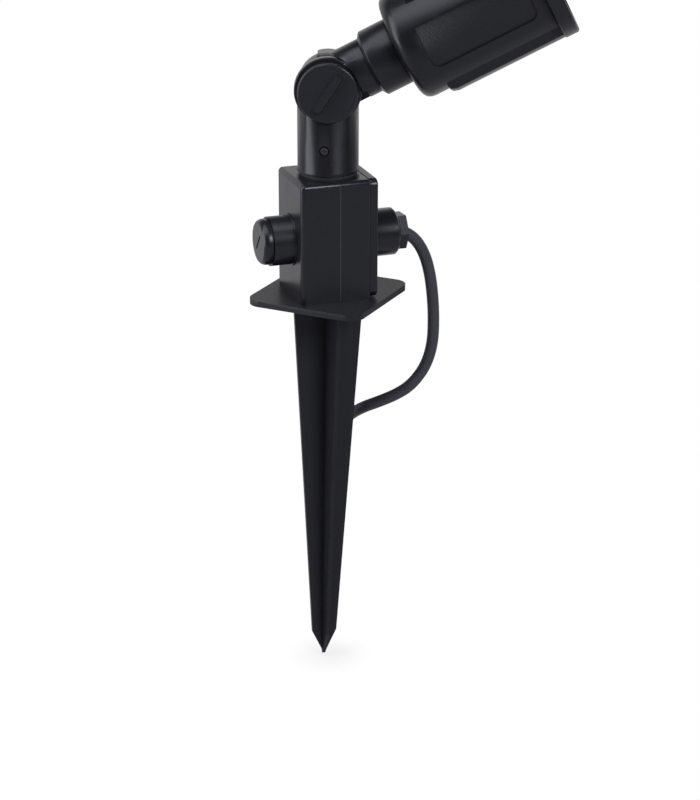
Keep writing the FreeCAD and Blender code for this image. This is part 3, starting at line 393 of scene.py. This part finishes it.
def head_moulding():
    finish = Finish("head_plastic_panels", Specular_Tint=COOL)
    lengthwise = within(finish, along(finish, (1, 0, 0)) - PANEL_MIDDLE, PANEL_HALF_LENGTH, PANEL_EDGE)
    across = within(finish, along(finish, (0, 0, 1)), PANEL_HALF_HEIGHT, PANEL_EDGE)
    panel = lengthwise * across
    patches = finish.clouds(18 * MM, 4.0)
    speckle = finish.clouds(0.5 * MM, 2.0)
    leather = finish.clouds(1.1 * MM, 3.0)
    grain = finish.bump(leather * panel, 0.16 * MM)
    finish.set(
        Base_Color=finish.between(patches, tone(0.004), tone(0.006)),
        Roughness=panel * 0.16 + patches * 0.10 + speckle * 0.06 + 0.22,
        Specular_IOR_Level=SHINE,
        Normal=finish.bump(speckle, 0.010 * MM, under=grain),
    )
    return finish


head_panel_finish = head_moulding()

# %% [markdown]
# ## Rubber, metals, glass and the small parts inside
#
# Rubber is dark, nearly matt and faintly dusty. Screws are stainless steel with fine turning marks, the
# knob's insert is brass, the heat plate is milled aluminium and the reflector is bright satin metal.

# %% Rubber
def rubber(name, level=0.014, roughness=0.55):
    finish = Finish(name)
    dust = finish.clouds(9 * MM, 5.0)
    skin = finish.clouds(0.7 * MM, 3.0)
    finish.set(
        Base_Color=finish.between(dust, tone(level), tone(level * 1.7)),
        Roughness=dust * 0.12 + skin * 0.06 + (roughness - 0.09),
        Specular_IOR_Level=0.32,
        Normal=finish.bump(skin, 0.02 * MM),
    )
    return finish


seal_finish = rubber("seal_rubber", 0.010, 0.62)
cable_finish = rubber("cable_rubber", 0.020, 0.46)

# %% Metals
def metal(name, low, high, roughness, scratch=0.25 * MM):
    """Metal with fine marks in its gloss and a slightly uneven colour."""
    finish = Finish(name, Metallic=1.0)
    patches = finish.clouds(4 * MM, 3.0)
    marks = finish.clouds(scratch, 5.0)
    finish.set(
        Base_Color=finish.between(patches, low, high),
        Roughness=marks * 0.18 + (roughness - 0.09),
        Normal=finish.bump(marks, 0.006 * MM),
    )
    return finish


steel_finish = metal("screw_steel", (0.40, 0.40, 0.41), (0.52, 0.52, 0.53), 0.34)
black_screw_finish = metal("black_screw", (0.05, 0.05, 0.055), (0.09, 0.09, 0.095), 0.36)
brass_finish = metal("insert_brass", (0.62, 0.45, 0.18), (0.76, 0.58, 0.27), 0.30)
plate_finish = metal("plate_aluminium", (0.55, 0.56, 0.57), (0.68, 0.69, 0.70), 0.38)
mirror_finish = metal("reflector_metal", (0.78, 0.78, 0.79), (0.86, 0.86, 0.87), 0.20, scratch=1.5 * MM)
ferrule_finish = metal("ferrule_metal", (0.62, 0.62, 0.63), (0.74, 0.74, 0.75), 0.26)

# %% Light-coloured plastics
def plain_plastic(name, low, high, roughness=0.4, size=3 * MM):
    finish = Finish(name)
    patches = finish.clouds(size, 4.0)
    finish.set(
        Base_Color=finish.between(patches, low, high),
        Roughness=patches * 0.12 + (roughness - 0.06),
        Normal=finish.bump(finish.clouds(0.4 * MM, 2.0), 0.008 * MM),
    )
    return finish


terminal_finish = plain_plastic("terminal_plastic", (0.68, 0.67, 0.62), (0.78, 0.77, 0.73))
washer_finish = plain_plastic("washer_plastic", (0.05, 0.05, 0.055), (0.09, 0.09, 0.095))
driver_finish = plain_plastic("driver_plastic", (0.52, 0.52, 0.50), (0.64, 0.64, 0.62), 0.5)
emitter_finish = plain_plastic("emitter_yellow", (0.85, 0.66, 0.12), (0.92, 0.80, 0.25), 0.28, 1.2 * MM)
board_finish = plain_plastic("board_white", (0.80, 0.81, 0.79), (0.88, 0.89, 0.87), 0.35)
core_finish = plain_plastic("core_insulation", (0.20, 0.20, 0.21), (0.30, 0.30, 0.31))
tie_finish = plain_plastic("tie_nylon", (0.018, 0.018, 0.020), (0.034, 0.034, 0.036), 0.36)
brown_finish = plain_plastic("brown_insulation", (0.14, 0.055, 0.022), (0.20, 0.085, 0.036), 0.36)
blue_finish = plain_plastic("blue_insulation", (0.025, 0.13, 0.42), (0.045, 0.19, 0.54), 0.36)


# %% Green and yellow earth core
def earth_insulation():
    """Two green stripes wound round a yellow core: a wave along a slanted direction, cut hard."""
    finish = Finish("earth_insulation")
    wave = finish.add("ShaderNodeTexWave", {"Vector": finish.place(), "Scale": 55.0, "Distortion": 0.0},
                      output=1, bands_direction="DIAGONAL")
    stripe = finish.add("ShaderNodeMapRange", {0: wave, 1: 0.46, 2: 0.54})
    finish.set(Base_Color=finish.between(stripe, (0.72, 0.60, 0.04), (0.05, 0.30, 0.06)), Roughness=0.36)
    return finish


# %% Lens glass
def lens_glass():
    """Clear glass: mostly see-through by a low alpha, and shining at its edges by the shader's own Fresnel."""
    finish = Finish("lens_glass", Base_Color=(0.90, 0.95, 0.94, 1.0), Alpha=0.22, Specular_IOR_Level=0.6)
    film = finish.clouds(30 * MM, 3.0)
    finish.set(Roughness=film * 0.05 + 0.02)
    return finish


earth_finish = earth_insulation()
glass_finish = lens_glass()

# %% [markdown]
# ## Dressing the solids
#
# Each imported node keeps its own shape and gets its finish. The solids' edges are razor sharp, which no
# moulding is, so a small bevel rounds them: a Weld joins the facets' split corners first, or the bevel would
# find no edge between them.

# %% Finishes for the nodes
FINISHES = {
    "ground_spike": spike_finish, "junction_box": box_finish, "box_cover": box_finish,
    "blind_plug": box_finish, "gland_nut": box_finish, "stem": stem_finish, "lock_knob": knob_finish,
    "knuckle_neck": stem_finish, "rear_collar": head_finish, "head_body": head_panel_finish,
    "front_bezel": head_finish, "cover_gasket": seal_finish, "plug_seal": seal_finish,
    "gland_seal": seal_finish, "stem_seal": seal_finish, "knuckle_seal": seal_finish,
    "collar_seal": seal_finish, "lens_gasket": seal_finish, "terminal_block": terminal_finish,
    "terminal_screws": steel_finish, "cover_screws": steel_finish, "foot_screws": steel_finish,
    "set_screw": black_screw_finish, "pivot_bolt": steel_finish, "board_screws": steel_finish,
    "bezel_screws": black_screw_finish, "knob_insert": brass_finish, "knob_washer": washer_finish,
    "driver": driver_finish, "heat_plate": plate_finish, "led_board": board_finish,
    "led_emitter": emitter_finish, "reflector": mirror_finish, "front_glass": glass_finish,
    "cable_inner_end": cable_finish, "inner_cores": core_finish, "lamp_cores": core_finish,
    "lamp_lead": cable_finish, "stem_lead": cable_finish, "head_lead": cable_finish,
    "driver_leads": core_finish, "cable_tie": tie_finish, "core_brown": brown_finish,
    "core_blue": blue_finish, "core_earth": earth_finish, "core_ferrules": ferrule_finish,
}


def wear(piece, finish):
    """Give a piece one finish in all its material slots."""
    if not piece.material_slots:
        piece.data.materials.append(finish.material)
    for slot in piece.material_slots:
        slot.material = finish.material


WELD_REACH = 0.002 * MM
SHARP = math.radians(35)


def soften(piece, width):
    """Round a solid's sharp edges."""
    weld = piece.modifiers.new("weld", "WELD")
    weld.merge_threshold = WELD_REACH
    bevel = piece.modifiers.new("bevel", "BEVEL")
    bevel.width = width
    bevel.segments = 2
    bevel.limit_method = "ANGLE"
    bevel.angle_limit = SHARP
    bevel.harden_normals = False


for name, finish in FINISHES.items():
    wear(nodes[name], finish)
wear(cord, cable_finish)
# Widths of the roundings, in millimetres
EDGES = {"ground_spike": 0.35, "junction_box": 0.2, "box_cover": 0.2, "blind_plug": 0.35, "gland_nut": 0.3,
         "stem": 0.3, "lock_knob": 0.2, "knuckle_neck": 0.35, "rear_collar": 0.4, "head_body": 0.3,
         "front_bezel": 0.3}
for name, width in EDGES.items():
    soften(nodes[name], width * MM)
print("dressed", len(FINISHES), "nodes")

# %% [markdown]
# ## Floor and light
#
# The photograph is on plain white, with one broad soft light on the left and a weaker one on the right:
# round parts show a wide band of light on their left and a thin one on their right. A third soft lamp hangs
# above on the left. The floor lies just below the spike's point. It is white to the eye, and in reflections it
# is whiter behind the object and to its left than in front. The world is white to the eye too. In reflections
# it is white low down behind the object and dim in front and overhead, because a black moulding that mirrored
# white all round would look grey. To the surfaces themselves the world gives only a little light.

# %% Floor
# Painted shadow: near the spike's point the floor's white glow is painted darker.
PAINTED_SHADOW_REACH = 0.034              # how far from the point the soft shadow reaches, in metres
PAINTED_SHADOW_WHITE = 0.80
FLOOR_SPAN = (-0.15, 0.25)        # metres, from in front on the right to behind on the left
FLOOR_SHARES = (0.30, 0.70)


def white_stage(name):
    """White to the eye and in reflections, plain and dim to the lamps; round the spike's point the glow is painted
    darker as a soft shadow, through which a little of the floor's own cast shadow shows.
    """
    finish = Finish(name, Base_Color=(0.40, 0.40, 0.41, 1.0), Roughness=0.9, Specular_IOR_Level=0.0)
    tree = finish.tree
    path = tree.nodes.new("ShaderNodeLightPath")
    eye = Value(finish, path.outputs["Is Camera Ray"])
    mirrored = Value(finish, path.outputs["Is Glossy Ray"])
    reach = finish.add("ShaderNodeVectorMath", {0: finish.place()}, output=1, operation="LENGTH")
    # painted shadow: the white that the eye sees falls off towards the spike's point
    white = finish.add("ShaderNodeMapRange", {0: reach, 1: 0.0, 2: PAINTED_SHADOW_REACH, 3: PAINTED_SHADOW_WHITE, 4: 1.0},
                       interpolation_type="SMOOTHSTEP")
    left_behind = finish.add("ShaderNodeVectorMath", {0: finish.place(), 1: tuple(AHEAD * 0.8 - RIGHT * 0.6)},
                             output=1, operation="DOT_PRODUCT")
    share = finish.add("ShaderNodeMapRange", {0: left_behind, 1: FLOOR_SPAN[0], 2: FLOOR_SPAN[1],
                                              3: FLOOR_SHARES[0], 4: FLOOR_SHARES[1]})
    glow = tree.nodes.new("ShaderNodeEmission")
    glow.inputs["Color"].default_value = (1.0, 1.0, 1.0, 1.0)
    mix = tree.nodes.new("ShaderNodeMixShader")
    finish.join(eye * white + mirrored * share, mix.inputs[0])
    tree.links.new(finish.shader.outputs[0], mix.inputs[1])
    tree.links.new(glow.outputs[0], mix.inputs[2])
    tree.links.new(mix.outputs[0], tree.nodes["Material Output"].inputs["Surface"])
    return finish


FLOOR_GAP = 1.5 * MM
FLOOR_HALF = 8.0
FLOOR_LEVEL = cad_box[0].z - FLOOR_GAP
floor_mesh = bpy.data.meshes.new("floor")
shape = bmesh.new()
bmesh.ops.create_grid(shape, x_segments=4, y_segments=4, size=FLOOR_HALF)
shape.to_mesh(floor_mesh)
shape.free()
floor = bpy.data.objects.new("floor", floor_mesh)
floor.location.z = FLOOR_LEVEL
bpy.context.scene.collection.objects.link(floor)
wear(floor, white_stage("floor_white"))
floor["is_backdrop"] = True

# %% Lamps
AIM = Vector((0.02, 0.0, 0.02))


def softbox(name, azimuth, elevation, distance, width, height, power):
    """A rectangular lamp that faces the object; azimuth is measured to the right of the camera."""
    side, lift = math.radians(azimuth), math.radians(elevation)
    level = Vector((AHEAD.x, AHEAD.y, 0)).normalized()
    toward = RIGHT * math.sin(side) - level * math.cos(side)
    place = AIM + (toward.normalized() * math.cos(lift) + Vector((0, 0, math.sin(lift)))) * distance
    lamp = bpy.data.lights.new(name, "AREA")
    lamp.shape = "RECTANGLE"
    lamp.size = width
    lamp.size_y = height
    lamp.energy = power
    holder = bpy.data.objects.new(name, lamp)
    holder.matrix_world = Matrix.Translation(place) @ (AIM - place).to_track_quat("-Z", "Y").to_matrix().to_4x4()
    bpy.context.scene.collection.objects.link(holder)
    return holder


# name, azimuth and elevation in degrees, distance, width and height in metres, power in watts
LAMPS = (("left_softbox", -72, 12, 1.5, 0.9, 1.9, 34),
         ("right_softbox", 37, 30, 1.6, 0.7, 0.5, 26),
         ("top_softbox", -50, 66, 1.5, 1.2, 1.0, 16))
for lamp in LAMPS:
    softbox(*lamp)
print("lamps:", len(LAMPS))

# %% World
BEHIND_SPAN, BEHIND_LEVELS = (-0.1, 0.5), (0.05, 1.0)    # by how far a direction points behind the object
RISE_SPAN, RISE_SHARES = (0.36, 0.62), (1.0, 0.12)       # by how far it points up
FILL = 0.06


def white_world():
    """White to the eye and through glass; in reflections white low down behind the object, and dim elsewhere."""
    world = bpy.data.worlds.new("white_world")
    world.use_nodes = True
    tree = world.node_tree
    path = tree.nodes.new("ShaderNodeLightPath")

    def maths(operation, first, second):
        node = tree.nodes.new("ShaderNodeMath")
        node.operation = operation
        for socket, value in zip(node.inputs, (first, second)):
            if isinstance(value, float):
                socket.default_value = value
            else:
                tree.links.new(value, socket)
        return node.outputs[0]

    def ranged(socket, span, levels):
        node = tree.nodes.new("ShaderNodeMapRange")
        for name, value in zip(("From Min", "From Max", "To Min", "To Max"), (*span, *levels)):
            node.inputs[name].default_value = value
        tree.links.new(socket, node.inputs["Value"])
        return node.outputs["Result"]

    direction = tree.nodes.new("ShaderNodeTexCoord")
    behind = tree.nodes.new("ShaderNodeVectorMath")
    behind.operation = "DOT_PRODUCT"
    behind.inputs[1].default_value = (AHEAD.x, AHEAD.y, 0.0)
    tree.links.new(direction.outputs["Generated"], behind.inputs[0])
    backdrop = ranged(behind.outputs["Value"], BEHIND_SPAN, BEHIND_LEVELS)
    eye = maths("MAXIMUM", path.outputs["Is Camera Ray"], path.outputs["Is Transmission Ray"])
    parts = tree.nodes.new("ShaderNodeSeparateXYZ")
    tree.links.new(direction.outputs["Generated"], parts.inputs[0])
    low = ranged(parts.outputs["Z"], RISE_SPAN, RISE_SHARES)
    mirrored = maths("MULTIPLY", path.outputs["Is Glossy Ray"], maths("MULTIPLY", backdrop, low))
    level = maths("MAXIMUM", maths("MAXIMUM", eye, mirrored), FILL)
    background = tree.nodes["Background"]
    background.inputs["Color"].default_value = (1.0, 1.0, 1.0, 1.0)
    tree.links.new(level, background.inputs["Strength"])
    bpy.context.scene.world = world


white_world()
bpy.context.scene.view_settings.view_transform = "Standard"

# %% [markdown]
# ## Sizes and the last check
#
# The dressed model must stay in the solids' own box, so both boxes are written down to be compared.

# %% Finish
dressed_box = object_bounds()
past = max(max(cad_box[0] - dressed_box[0]), max(dressed_box[1] - cad_box[1]))
print("past the solids' box: %.2f mm" % (past / MM))
